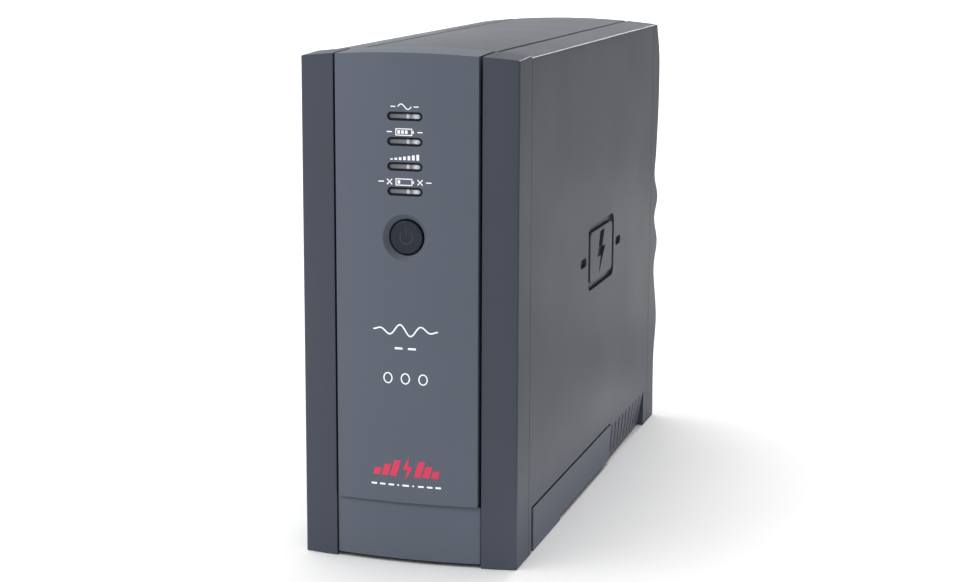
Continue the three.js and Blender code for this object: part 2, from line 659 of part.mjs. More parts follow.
function breakerBody() {
  const back = SOCKET_PANEL - CLEARANCE;
  const seat = SOCKET_PANEL + SOCKET_PANEL_WALL + CLEARANCE;
  const bush = prism("y", circle(0, 0, 5.6), back - 1, seat + 3.6);
  const nut = prism("y", circle(0, 0, 8, 6), seat, seat + 2.2);
  const bore = prism("y", circle(0, 0, 3.7), 300, 330);
  const chamber = prism("y", circle(0, 0, 4.9), 304.6, back - 0.4);
  return cut(join(block([-8, 8], [290, back], [-7, 7]), bush, nut), bore, chamber);
}

function resetButton() {
  return turned(0, 0, [
    [0, 304],
    [3.3, 304],
    [3.3, 305],
    [4.4, 305],
    [4.4, 306.2],
    [3.3, 306.2],
    [3.3, 318.6],
    [2.6, 319.6],
    [0, 320],
  ], 20);
}

// A block with a row of modular jack openings, about its own centre.
function jackBlock(centres, width) {
  const body = prism("y", roundedRectangle(0, 0, width, 17, 0.8, 2), 297, FACE_DEPTH);
  const openings = centres.map((x) =>
    join(
      block([x - 5.9, x + 5.9], [301, FACE_DEPTH + 1], [-5, 3.4]),
      block([x - 3, x + 3], [301, FACE_DEPTH + 1], [3, 5.8]),
    ));
  return cut(body, ...openings);
}

function screw() {
  const head = [[0, 0], [1.6, 0], [1.6, 4], [3.4, 4], [3.4, 5], [2.2, 6.2], [0, 6.4]];
  const cross = [block([-0.5, 0.5], [5, 8], [-2, 2]), block([-2, 2], [5, 8], [-0.5, 0.5])];
  return cut(turned(0, 0, head, 16), ...cross);
}

function addBack() {
  const outlets = OUTLET_HEIGHTS.flatMap((z) => [[-OUTLET_X, 0, z], [OUTLET_X, 0, z]]);
  const places = { inlet: [-OUTLET_X, 0, INLET_HEIGHT], breaker: [OUTLET_X, 0, INLET_HEIGHT] };
  const jacks = { surge: [-22, 0, PORT_HEIGHT], data: [20, 0, PORT_HEIGHT] };
  const screws = [[-46, 94], [46, 94]];
  const screwDepth = SOCKET_PANEL + SOCKET_PANEL_WALL + CLEARANCE - 4;
  const { width, height } = SOCKET_BODY;
  const through = (outline) => prism("y", outline, 305, 320);
  const holes = [
    ...[...outlets, places.inlet].map(([x, , z]) =>
      through(roundedRectangle(x, z, width + 0.8, height + 0.8, 1.8, 2))),
    through(circle(OUTLET_X, INLET_HEIGHT, 6)),
    through(roundedRectangle(jacks.surge[0], PORT_HEIGHT, 34.8, 17.8, 1, 2)),
    through(roundedRectangle(jacks.data[0], PORT_HEIGHT, 18.8, 17.8, 1, 2)),
    ...screws.map(([x, z]) => through(circle(x, z, 2, 12))),
  ];
  add("rear_cover", rearCover(holes), "housing");
  const socket = outlet();
  outlets.forEach((at, i) => add(`outlet_${i + 1}`, socket, "black_plastic", at));
  add("power_inlet", powerInlet(), "black_plastic", places.inlet);
  add("breaker_body", breakerBody(), "black_plastic", places.breaker);
  add("breaker_reset_button", resetButton(), "red_plastic", places.breaker);
  add("surge_ports", jackBlock([-8.4, 8.4], 34), "black_plastic", jacks.surge);
  add("data_port", jackBlock([0], 18), "black_plastic", jacks.data);
  screws.forEach(([x, z], i) => add(`rear_screw_${i + 1}`, screw(), "steel", [x, screwDepth, z]));
}

// ---- Battery pack ----

function addBatteries() {
  const { width, length, thickness, left, front, bottom } = BATTERY;
  const right = left + width;
  const rear = front + length;
  const half = thickness - CLEARANCE;
  const stack = [bottom, bottom + thickness];
  ["lower", "upper"].forEach((name, i) => {
    const outline = roundedRectangle(front + length / 2, stack[i] + half / 2, length, half, 1.5, 2);
    add(`battery_${name}`, prism("x", outline, left, right), "battery_case");
  });
  const face = right + CLEARANCE;
  const terminal = (z) =>
    join(
      block([face, face + 4], [front + 5, front + 12], [z - 0.6, z + 0.6]),
      block([face, face + 1], [front + 4, front + 13], [z - 4, z + 2]),
    );
  add("negative_terminal", terminal(stack[0] + 16), "brass");
  add("positive_terminal", terminal(stack[1] + 48), "brass");
  const link = block([face, face + 2.4], [rear - 14, rear - 6], [stack[0] + 44, stack[1] + 22]);
  add("series_link", link, "brass");
  const packTop = stack[1] + half + CLEARANCE;
  const connector = { halfWidth: 18, depths: [108, 132], height: 7 };
  const across = [-connector.halfWidth, connector.halfWidth];
  const body = block(across, connector.depths, [packTop, packTop + connector.height]);
  add("pack_connector", body, "black_plastic");
  add("battery_pull_strap", block([-12.5, 12.5], [55, 185], [5.1, 6]), "strap");
  const plug = block([-22, 22], [102, 138], [BAY_TOP + BAY_WALL + CLEARANCE, BAY_CONNECTOR_TOP]);
  const mouth = block(
    [-connector.halfWidth - 0.5, connector.halfWidth + 0.5],
    [connector.depths[0] - 0.5, connector.depths[1] + 0.5],
    [BAY_TOP, packTop + connector.height + 0.4],
  );
  add("bay_connector", cut(plug, mouth), "black_plastic");
}

// ---- Power electronics ----

const BOARD_FACE = BOARD_X + BOARD_THICKNESS + CLEARANCE;

function heatSink(front, length, z) {
  const spine = block([BOARD_FACE, BOARD_FACE + 32], [front, front + length], [z - 1.5, z + 1.5]);
  const fins = Array.from({ length: 6 }, (_, i) => {
    const x = BOARD_FACE + 3 + i * 5.2;
    return block([x, x + 1.6], [front, front + length], [z, z + 16]);
  });
  return join(spine, ...fins);
}

function transistor(front, z) {
  const top = z - 1.5 - CLEARANCE;
  const body = block([BOARD_FACE + 4, BOARD_FACE + 19], [front, front + 10], [top - 4.6, top]);
  return join(body, block([BOARD_FACE, BOARD_FACE + 4.5], [front + 3, front + 7], [top - 2.8, top - 2]));
}

function capacitor(depth, z) {
  const can = turned(0, 0, [[0, 0], [10.5, 0], [10.5, 31], [9.8, 32], [0, 32]], 20);
  return solidOf(geometryOf(can).rotateZ(-Math.PI / 2).translate(BOARD_FACE, depth, z));
}

function choke(depth, z) {
  const ring = new THREE.TorusGeometry(9, 4, 8, 18).rotateY(Math.PI / 2);
  return solidOf(ring.translate(BOARD_FACE + 4, depth, z));
}

function addElectronics() {
  add("main_board", block([BOARD_X, BOARD_X + BOARD_THICKNESS], [50, 288], [150, 238]), "circuit_board");
  const sinkHeight = 208;
  [70, 140].forEach((front, i) => {
    add(`heat_sink_${i + 1}`, heatSink(front, 56, sinkHeight), "aluminium");
    add(`power_transistor_${i + 1}`, transistor(front + 23, sinkHeight), "black_plastic");
  });
  [82, 108].forEach((depth, i) => {
    add(`bulk_capacitor_${i + 1}`, capacitor(depth, 168), "blue_plastic");
  });
  [215, 250].forEach((front, i) => {
    const relay = block([BOARD_FACE, BOARD_FACE + 20], [front, front + 28], [205, 221]);
    add(`relay_${i + 1}`, relay, "black_plastic");
  });
  add("filter_choke", choke(222, 175), "winding");
  const end = BOARD_FACE + 2;
  const [start, bend] = [BAY_CONNECTOR_TOP + CLEARANCE, BAY_CONNECTOR_TOP + 12];
  const lead = (x, depth, z) => {
    const rise = [[x, 120, start], [x, 122, bend], [x - 8, 128, z + 2]];
    return cable([...rise, [end + 14, depth, z], [end, depth, z]], 1.8, 14);
  };
  add("battery_lead_red", lead(8, 138, 180), "red_plastic");
  add("battery_lead_black", lead(-8, 150, 172), "black_plastic");
  const along = BOARD_FACE + 1;
  const route = [[-20, WEB_DEPTH + CLEARANCE], [-21, 24], [-34, 34], [along, 46], [along, 62]];
  add("front_ribbon_cable", prism("z", band(route, 0.9, 14), 198, 216), "strap");
}

// ---- Transformer ----

function addTransformer() {
  const { depth, bottom, stack, halfLength, height } = TRANSFORMER;
  const [leg, window, yoke] = [halfLength / 3, halfLength / 3, 12.4];
  const top = bottom + height;
  const y = (offset) => depth + offset;
  const hole = (sign) => {
    const edges = [y(sign * leg), y(sign * (leg + window))].sort((a, b) => a - b);
    return block([-stack - 1, stack + 1], edges, [bottom + yoke, top - yoke]);
  };
  const laminations = block([-stack, stack], [y(-halfLength), y(halfLength)], [bottom, top]);
  add("transformer_core", cut(laminations, hole(1), hole(-1)), "laminations");
  const coilHeight = [bottom + yoke + CLEARANCE, top - yoke - CLEARANCE];
  const wound = roundedRectangle(0, depth, 2 * (stack + 14), 2 * (leg + window - CLEARANCE), 6);
  const coil = cut(
    prism("z", wound, ...coilHeight),
    block([-stack - CLEARANCE, stack + CLEARANCE], [y(-leg - CLEARANCE), y(leg + CLEARANCE)], [0, 100]),
  );
  add("transformer_coil", coil, "winding");
  const sheet = 1.6;
  const [inside, foot, roof] = [halfLength + CLEARANCE, TRAY_FLOOR + TRAY_WALL + CLEARANCE, top + CLEARANCE];
  const half = [
    [inside, roof],
    [inside, foot],
    [inside + 10, foot],
    [inside + 10, foot + sheet],
    [inside + sheet, foot + sheet],
    [inside + sheet, roof + sheet],
  ];
  const strap = [...half, ...half.map(([u, v]) => [-u, v]).reverse()];
  add("transformer_bracket", prism("x", strap.map(([u, v]) => [y(u), v]), -15, 15), "steel");
}

addFront();
addCovers();
addBack();
addBatteries();
addElectronics();
addTransformer();

export default housing;
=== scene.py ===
"""Looks for a tower uninterruptible power supply: its shells, prints, lamps, sockets and batteries."""

import math

import bmesh
import bpy
from mathutils import Matrix, Vector


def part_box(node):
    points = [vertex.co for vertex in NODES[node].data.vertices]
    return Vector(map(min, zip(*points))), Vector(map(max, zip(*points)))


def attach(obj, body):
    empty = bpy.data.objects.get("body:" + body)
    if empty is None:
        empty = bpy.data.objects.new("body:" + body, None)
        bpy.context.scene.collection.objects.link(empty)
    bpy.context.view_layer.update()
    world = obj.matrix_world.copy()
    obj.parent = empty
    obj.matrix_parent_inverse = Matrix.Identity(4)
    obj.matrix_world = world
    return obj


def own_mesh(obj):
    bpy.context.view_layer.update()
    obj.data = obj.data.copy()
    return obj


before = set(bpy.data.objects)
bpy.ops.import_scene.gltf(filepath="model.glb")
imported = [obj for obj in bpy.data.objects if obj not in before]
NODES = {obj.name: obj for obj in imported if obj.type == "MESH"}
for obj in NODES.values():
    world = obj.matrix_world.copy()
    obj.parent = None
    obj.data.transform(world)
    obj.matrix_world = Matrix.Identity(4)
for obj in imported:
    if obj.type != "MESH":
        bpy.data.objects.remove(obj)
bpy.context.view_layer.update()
MM = 0.001
LAMPS = ("online", "on_battery", "overload", "replace_battery")

# Places read from the solids: a height above the ground, and the depths of three faces.
BUTTON_HEIGHT = sum(corner.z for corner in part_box("power_button")) / 2
RAIL_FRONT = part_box("front_bezel")[0].y
PANEL_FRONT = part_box("front_panel")[0].y
SOCKET_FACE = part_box("outlet_1")[1].y

# How far details stand out of the faces that they are on, or lie below them.
SOCKET_RELIEF = 1.9 * MM
BUTTON_HOLLOW = 0.32 * MM
GROUND_PAD_HEIGHT = 2.5 * MM

# Strength of the light from the room at eye level and overhead.
HORIZON_LIGHT = 0.1
ZENITH_LIGHT = 1.7


# ---- Materials ----

class Surface:
    """A material under construction: a Principled shader and the nodes that feed it."""

    def __init__(self, name):
        self.material = bpy.data.materials.new(name)
        self.material.use_nodes = True
        self.tree = self.material.node_tree
        self.shader = self.tree.nodes["Principled BSDF"]
        self.place = self.node("ShaderNodeTexCoord").outputs["Object"]

    def node(self, kind, **settings):
        made = self.tree.nodes.new(kind)
        for key, value in settings.items():
            setattr(made, key, value)
        return made

    def feed(self, socket, source):
        if hasattr(source, "links"):
            self.tree.links.new(source, socket)
        else:
            socket.default_value = source

    def set(self, **values):
        for key, value in values.items():
            self.feed(self.shader.inputs[key.replace("_", " ")], value)
        return self

    def stretched(self, scale):
        mapping = self.node("ShaderNodeMapping")
        mapping.inputs["Scale"].default_value = scale
        self.feed(mapping.inputs["Vector"], self.place)
        return mapping.outputs["Vector"]

    def noise(self, size, detail=2.0, rough=0.5, place=None):
        """Noise from 0 to 1 whose blotches are about size metres across."""
        made = self.node("ShaderNodeTexNoise")
        made.inputs["Scale"].default_value = 1 / size
        made.inputs["Detail"].default_value = detail
        made.inputs["Roughness"].default_value = rough
        self.feed(made.inputs["Vector"], place or self.place)
        return made.outputs["Fac"]

    def ramp(self, value, low, high, to_low=0.0, to_high=1.0):
        """The value mapped from the range low to high onto to_low to to_high, and held at its ends."""
        made = self.node("ShaderNodeMapRange")
        ends = {"From Min": low, "From Max": high, "To Min": to_low, "To Max": to_high}
        for name, number in ends.items():
            made.inputs[name].default_value = number
        self.feed(made.inputs["Value"], value)
        return made.outputs["Result"]

    def maths(self, operation, a, b=0.0):
        made = self.node("ShaderNodeMath", operation=operation)
        self.feed(made.inputs[0], a)
        self.feed(made.inputs[1], b)
        return made.outputs[0]

    def blend(self, factor, a, b):
        """A colour or socket a where factor is 0, and b where it is 1."""
        made = self.node("ShaderNodeMix", data_type="RGBA")
        self.feed(made.inputs[0], factor)
        self.feed(made.inputs[6], (*a, 1) if isinstance(a, tuple) else a)
        self.feed(made.inputs[7], (*b, 1) if isinstance(b, tuple) else b)
        return made.outputs[2]

    def bump(self, height, distance, strength=1.0, below=None):
        made = self.node("ShaderNodeBump")
        made.inputs["Distance"].default_value = distance
        made.inputs["Strength"].default_value = strength
        self.feed(made.inputs["Height"], height)
        if below:
            self.feed(made.inputs["Normal"], below)
        return made.outputs["Normal"]

    def edges(self, radius):
        """1 along sharp edges and 0 on open faces."""
        rounded = self.node("ShaderNodeBevel", samples=4)
        rounded.inputs["Radius"].default_value = radius
        true_normal = self.node("ShaderNodeNewGeometry").outputs["Normal"]
        product = self.node("ShaderNodeVectorMath", operation="DOT_PRODUCT")
        self.feed(product.inputs[0], rounded.outputs["Normal"])
        self.feed(product.inputs[1], true_normal)
        return self.ramp(product.outputs["Value"], 0.99, 0.9)


def shade(color, factor):
    """The colour, darker or paler by the factor."""
    return tuple(channel * factor for channel in color)


def moulded_plastic(name, color, roughness, grain=0.35 * MM, relief=0.02 * MM, wear=0.12,
                    gloss=0.5):
    """Spark-eroded moulding: a fine even grain, faint flow clouds and slightly paler edges."""
    s = Surface(name)
    clouds = s.noise(60 * MM, 3, 0.55)
    specks = s.noise(grain, 2)
    base = s.blend(clouds, shade(color, 0.95), shade(color, 1.05))
    base = s.blend(s.ramp(specks, 0.3, 0.7, 0, 0.1), base, shade(color, 1.5))
    worn = s.maths("MULTIPLY", s.edges(0.5 * MM), s.ramp(s.noise(8 * MM), 0.3, 0.8, wear / 2, wear))
    base = s.blend(worn, base, shade(color, 2.2))
    rough = s.maths("ADD", s.ramp(clouds, 0.2, 0.8, roughness - 0.03, roughness + 0.03),
                    s.ramp(specks, 0.2, 0.8, -0.04, 0.04))
    relief_normal = s.bump(specks, relief, 0.6, s.bump(s.noise(35 * MM, 1), 0.12 * MM, 0.5))
    s.shader.inputs["Specular IOR Level"].default_value = gloss
    return s.set(Base_Color=base, Roughness=rough, Normal=relief_normal).material


def metal(name, color, roughness, along=(1, 1, 1), scratch=0.15 * MM):
    """Bare metal with fine scratches, drawn out where a number in along is small."""
    s = Surface(name)
    grain = s.noise(scratch, 3, 0.6, s.stretched(along))
    tint = s.blend(s.noise(6 * MM, 3), shade(color, 0.82), color)
    rough = s.maths("ADD", s.ramp(grain, 0.2, 0.8, roughness - 0.06, roughness + 0.08),
                    s.ramp(s.noise(4 * MM), 0.3, 0.8, 0, 0.1))
    s.set(Base_Color=tint, Roughness=rough, Normal=s.bump(grain, 0.01 * MM, 0.5))
    s.shader.inputs["Metallic"].default_value = 1.0
    return s.material


def lamp_window():
    """Smoke-tinted clear bar with painted light: painted shade that darkens its left, and two pale
    painted highlights at its right.
    """
    s = Surface("lamp_window")
    split = s.node("ShaderNodeSeparateXYZ")
    s.feed(split.inputs[0], s.place)
    across = split.outputs["X"]
    dust = s.noise(0.6 * MM, 3)
    # Painted shade: the bar darkens from its middle towards its left.
    tone = s.blend(s.ramp(across, -8 * MM, 2 * MM), (0.045, 0.05, 0.06), (0.14, 0.15, 0.17))
    # Painted highlights: two pale spots at the right, in place of reflections of the lights.
    for middle, reach in ((1.5 * MM, 1 * MM), (5.6 * MM, 2.1 * MM)):
        highlight_distance = s.maths("ABSOLUTE", s.maths("SUBTRACT", across, middle))
        tone = s.blend(s.ramp(highlight_distance, reach, reach * 0.2), tone, (0.5, 0.52, 0.56))
    tone = s.blend(s.ramp(dust, 0.4, 0.8, 0, 0.12), tone, (0.3, 0.32, 0.35))
    rough = s.ramp(dust, 0.3, 0.8, 0.1, 0.22)
    s.set(Base_Color=tone, Roughness=rough, Normal=s.bump(dust, 0.01 * MM, 0.4))
    s.shader.inputs["Coat Weight"].default_value = 0.6
    s.shader.inputs["Coat Roughness"].default_value = 0.08
    return s.material


def ink(name, color):
    """Screen-printed ink: dense, slightly uneven and a little glossier than the plastic under it."""
    s = Surface(name)
    patch = s.noise(0.5 * MM, 3)
    tone = s.blend(patch, shade(color, 0.9), color)
    rough = s.ramp(patch, 0.2, 0.8, 0.34, 0.48)
    return s.set(Base_Color=tone, Roughness=rough, Normal=s.bump(patch, 0.01 * MM, 0.4)).material


def circuit_board():
    """Green solder mask over copper tracks, with tinned pads."""
    s = Surface("circuit_board")
    cells = s.node("ShaderNodeTexVoronoi", feature="DISTANCE_TO_EDGE", distance="CHEBYCHEV")
    cells.inputs["Scale"].default_value = 1 / (5 * MM)
    s.feed(cells.inputs["Vector"], s.place)
    tracks = s.ramp(cells.outputs["Distance"], 0.05, 0.09)
    mask = s.blend(s.noise(12 * MM), (0.012, 0.085, 0.035), (0.02, 0.12, 0.05))
    tone = s.blend(tracks, (0.03, 0.2, 0.08), mask)
    dots = s.node("ShaderNodeTexVoronoi")
    dots.inputs["Scale"].default_value = 1 / (3 * MM)
    s.feed(dots.inputs["Vector"], s.place)
    pads = s.ramp(dots.outputs["Distance"], 0.16, 0.12)
    tone = s.blend(pads, tone, (0.6, 0.6, 0.58))
    s.set(Base_Color=tone, Metallic=s.ramp(pads, 0, 1, 0, 0.9))
    s.set(Roughness=s.ramp(pads, 0, 1, 0.3, 0.38))
    return s.set(Normal=s.bump(tracks, 0.03 * MM, 0.6)).material


def layered(name, color, pitch, roughness, direction="X"):
    """Stacked sheets or wound wire: fine parallel lines with a little unevenness."""
    s = Surface(name)
    wave = s.node("ShaderNodeTexWave", wave_type="BANDS", bands_direction=direction)
    wave.inputs["Scale"].default_value = 0.314 / pitch
    wave.inputs["Distortion"].default_value = 0.4
    s.feed(wave.inputs["Vector"], s.place)
    lines = wave.outputs["Fac"]
    tone = s.blend(lines, shade(color, 0.45), color)
    tone = s.blend(s.ramp(s.noise(9 * MM, 4), 0.45, 0.75), tone, shade(color, 0.7))
    rough = s.ramp(s.noise(3 * MM), 0.3, 0.7, roughness - 0.08, roughness + 0.1)
    s.set(Base_Color=tone, Roughness=rough)
    return s.set(Normal=s.bump(lines, 0.1 * MM, 0.7)).material


def webbing():
    """Flat woven strap."""
    s = Surface("strap_webbing")
    weave = s.node("ShaderNodeTexBrick")
    weave.inputs["Scale"].default_value = 1 / (2 * MM)
    weave.inputs["Mortar Size"].default_value = 0.06
    for socket, tone in (("Color1", 0.5), ("Color2", 0.42), ("Mortar", 0.16)):
        weave.inputs[socket].default_value = (tone, tone, tone * 0.96, 1)
    s.feed(weave.inputs["Vector"], s.place)
    fuzz = s.noise(0.3 * MM, 4)
    tone = s.blend(s.ramp(fuzz, 0.4, 0.8, 0, 0.4), weave.outputs["Color"], (0.62, 0.62, 0.58))
    s.set(Base_Color=tone, Roughness=s.ramp(fuzz, 0.3, 0.7, 0.75, 0.9))
    return s.set(Normal=s.bump(weave.outputs["Fac"], 0.2 * MM, 0.7)).material


def studio_floor():
    """Pale matt floor, very slightly uneven."""
    s = Surface("studio_floor")
    s.shader.inputs["Specular IOR Level"].default_value = 0.05
    tone = s.blend(s.noise(0.8, 2), (0.94, 0.94, 0.94), (0.97, 0.97, 0.97))
    rough = s.ramp(s.noise(0.05, 3), 0.3, 0.7, 0.62, 0.72)
    return s.set(Base_Color=tone, Roughness=rough).material


HOUSING_GREY = (0.048, 0.055, 0.071)
PANEL_GREY = (0.076, 0.089, 0.113)
BUTTON_GREY = (0.014, 0.018, 0.028)
SYMBOL_GREY = (0.036, 0.04, 0.052)
BLACK = (0.013, 0.0135, 0.016)
BATTERY_GREY = (0.028, 0.03, 0.034)
MATERIALS = {
    "housing": moulded_plastic("housing_plastic", HOUSING_GREY, 0.46, gloss=0.08),
    # The battery door is the housing grey made paler: painted light, standing in for the floor light on
    # the low part of the side.
    "cover": moulded_plastic("battery_door_plastic_painted_lighter", shade(HOUSING_GREY, 1.3), 0.46, gloss=0.08),
    "panel": moulded_plastic("front_panel_plastic", PANEL_GREY, 0.5, gloss=0.2),
    "button": moulded_plastic("button_plastic", BUTTON_GREY, 0.4, grain=0.25 * MM, gloss=0.2),
    "symbol": moulded_plastic("symbol_plastic", SYMBOL_GREY, 0.4, grain=0.25 * MM, gloss=0.2),
    # Near-black steel for the base tray, so that the groove in front of it reads dark: painted shade.
    "painted": moulded_plastic("near_black_tray_steel", (0.012, 0.013, 0.016), 0.45, grain=0.6 * MM),
    "liner": moulded_plastic("bay_liner", (0.03, 0.032, 0.037), 0.55),
    "black": moulded_plastic("black_plastic", BLACK, 0.42, grain=0.3 * MM, gloss=0.3),
    # Near-black sheet for the rims round the lamp windows: painted shade.
    "window_rim_shade": moulded_plastic("window_rim_black_shade", (0.005, 0.006, 0.01), 0.6, grain=0.2 * MM, gloss=0.1),
    "battery": moulded_plastic("battery_case", BATTERY_GREY, 0.5, grain=0.8 * MM, relief=0.05 * MM),
    "red": moulded_plastic("red_plastic", (0.42, 0.02, 0.03), 0.38, wear=0.05),
    "blue_sleeve": moulded_plastic("capacitor_sleeve", (0.02, 0.06, 0.22), 0.25, relief=0.005 * MM),
    "lamp_body": moulded_plastic("lamp_body", (0.55, 0.58, 0.6), 0.2, relief=0.003 * MM),
    "window": lamp_window(),
    "white_ink": ink("white_print", (0.82, 0.84, 0.88)),
    "label": ink("label_paper", (0.62, 0.64, 0.66)),
    "red_ink": ink("red_print", (0.56, 0.02, 0.075)),
    "steel": metal("zinc_plated_steel", (0.6, 0.61, 0.63), 0.32, (1, 0.15, 1)),
    "aluminium": metal("extruded_aluminium", (0.72, 0.73, 0.75), 0.36, (1, 0.05, 1)),
    "brass": metal("tinned_brass", (0.72, 0.55, 0.26), 0.28),
    "gold": metal("gilt_contacts", (0.85, 0.6, 0.22), 0.22),
    "board": circuit_board(),
    "laminations": layered("transformer_laminations", (0.11, 0.105, 0.1), 0.5 * MM, 0.5),
    "winding": layered("copper_winding", (0.42, 0.16, 0.05), 0.8 * MM, 0.36, "Z"),
    "strap": webbing(),
    "ribbon": layered("ribbon_cable", (0.46, 0.46, 0.44), 1.27 * MM, 0.5, "Z"),
}

NODE_MATERIALS = {
    "housing": ["front_bezel", "right_side_shell", "left_side_shell", "top_cover", "rear_cover"],
    # Painted light: the battery door gets the paler copy of the housing grey.
    "cover": ["battery_door"],
    "panel": ["front_panel", "lower_front_panel"],
    "button": ["power_button"],
    "liner": ["battery_bay"],
    "battery": ["battery_lower", "battery_upper"],
    "red": ["breaker_reset_button", "battery_lead_red"],
    # Painted shade: the base tray is near-black so that the groove over it reads dark.
    "painted": ["base_tray"],
    "steel": ["transformer_bracket", "power_button_spring", "rear_screw_1", "rear_screw_2"],
    "brass": ["negative_terminal", "positive_terminal", "series_link"],
    "board": ["main_board", "control_board"],
    "laminations": ["transformer_core"],
    "winding": ["transformer_coil", "filter_choke"],
    "strap": ["battery_pull_strap"],
    "ribbon": ["front_ribbon_cable"],
}


def material_for(node):
    """A node's material, by its name, by the end or the start of it, or black plastic."""
    for key, names in NODE_MATERIALS.items():
        if node in names:
            return MATERIALS[key]
    for ending, key in (("lamp_window", "window"), ("_lamp", "lamp_body")):
        if node.endswith(ending):
            return MATERIALS[key]
    for start, key in (("heat_sink", "aluminium"), ("bulk_capacitor", "blue_sleeve")):
        if node.startswith(start):
            return MATERIALS[key]
    return MATERIALS["black"]


# ---- Edges of the CAD solids ----

def smooth_by_angle(angle):
    """A node group that shades a mesh smooth except along edges that turn by more than the angle."""
    group = bpy.data.node_groups.new("smooth_by_angle", "GeometryNodeTree")
    group.interface.new_socket("Geometry", in_out="INPUT", socket_type="NodeSocketGeometry")
    group.interface.new_socket("Geometry", in_out="OUTPUT", socket_type="NodeSocketGeometry")
    start = group.nodes.new("NodeGroupInput")
    end = group.nodes.new("NodeGroupOutput")
    faces = group.nodes.new("GeometryNodeSetShadeSmooth")
    faces.domain = "FACE"
    sharp = group.nodes.new("GeometryNodeSetShadeSmooth")
    sharp.domain = "EDGE"
    sharp.inputs["Shade Smooth"].default_value = False
    turn = group.nodes.new("GeometryNodeInputMeshEdgeAngle")
    steep = group.nodes.new("FunctionNodeCompare")
    steep.inputs[1].default_value = angle
    group.links.new(turn.outputs["Unsigned Angle"], steep.inputs[0])
    group.links.new(start.outputs[0], faces.inputs["Geometry"])
    group.links.new(faces.outputs[0], sharp.inputs["Geometry"])
    group.links.new(steep.outputs[0], sharp.inputs["Selection"])
    group.links.new(sharp.outputs[0], end.inputs[0])
    return group


SMOOTH = smooth_by_angle(math.radians(40))


def soften(obj, radius):
    """Rounds the sharp edges of a solid and shades it evenly."""
    weld = obj.modifiers.new("weld", "WELD")
    weld.merge_threshold = 0.002 * MM
    if obj.name in EDGE_RADII:
        flats = obj.modifiers.new("flats", "DECIMATE")
        flats.decimate_type = "DISSOLVE"
        flats.angle_limit = math.radians(0.2)
    bevel = obj.modifiers.new("edges", "BEVEL")
    bevel.width = radius
    bevel.segments = 2
    bevel.limit_method = "ANGLE"
    bevel.angle_limit = math.radians(35)
    bevel.use_clamp_overlap = True
    smooth = obj.modifiers.new("smooth", "NODES")
    smooth.node_group = SMOOTH
    normals = obj.modifiers.new("normals", "WEIGHTED_NORMAL")
    normals.keep_sharp = True
    normals.weight = 90


# Radii of the rounded edges in millimetres, less where a face beside the edge is narrow. The solids
# that are named here have their flat faces merged first, so that broad faces stay even.
PLAIN_EDGE_RADIUS = 0.2
EDGE_RADII = {
    "front_bezel": 0.9, "front_panel": 0.45, "lower_front_panel": 0.5, "top_cover": 0.35,
    "rear_cover": 0.4, "right_side_shell": 0.9, "left_side_shell": 0.9, "battery_door": 0.35,
    "power_button": 0.15,
}


def dress_cad():
    """Gives each solid its material and its rounded edges."""
    for name, obj in NODES.items():
        obj.data.materials.clear()
        obj.data.materials.append(material_for(name))
        soften(obj, EDGE_RADII.get(name, PLAIN_EDGE_RADIUS) * MM)


def shorten_spring():
    """Gives the button's spring a mesh of its own."""
    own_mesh(NODES["power_button_spring"])


# ---- Mesh pieces ----

def ring_points(radius, steps, centre, height_ratio):
    """An ellipse: its radius across, and its height as a ratio of its width."""
    turns = [2 * math.pi * i / steps for i in range(steps)]
    return [(centre[0] + radius * math.cos(turn), centre[1] + height_ratio * radius * math.sin(turn))
            for turn in turns]


def slot_points(length, height, centre, steps=8):
    """An outline with round ends."""
    reach = (length - height) / 2
    points = []
    for side, start in ((1, -0.5), (-1, 0.5)):
        for i in range(steps + 1):
            angle = math.pi * (start + i / steps)
            points.append((centre[0] + side * reach + height / 2 * math.cos(angle),
                           centre[1] + height / 2 * math.sin(angle)))
    return points


def stroke(points, width, closed=False):
    """A flat line of even width along points: quads as (outer, inner) pairs."""
    count = len(points)
    pairs = []
    for i, (x, y) in enumerate(points):
        before = points[i - 1] if closed or i else points[i]
        after = points[(i + 1) % count] if closed or i < count - 1 else points[i]
        into = Vector((x - before[0], y - before[1]))
        away = Vector((after[0] - x, after[1] - y))
        into = into.normalized() if into.length else away.normalized()
        away = away.normalized() if away.length else into
        along = (into + away).normalized()
        sideways = Vector((-along.y, along.x)) * width / 2 / max(0.5, along.dot(into))
        pairs.append(((x + sideways.x, y + sideways.y), (x - sideways.x, y - sideways.y)))
    quads = []
    for i in range(count if closed else count - 1):
        here, there = pairs[i], pairs[(i + 1) % count]
        quads.append([here[0], there[0], there[1], here[1]])
    return quads


def add_piece(name, bm, material, body):
    """Turns a built mesh into an object that rides on a body."""
    mesh = bpy.data.meshes.new(name)
    bm.to_mesh(mesh)
    bm.free()
    mesh.materials.append(material)
    obj = bpy.data.objects.new(name, mesh)
    bpy.context.scene.collection.objects.link(obj)
    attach(obj, body)


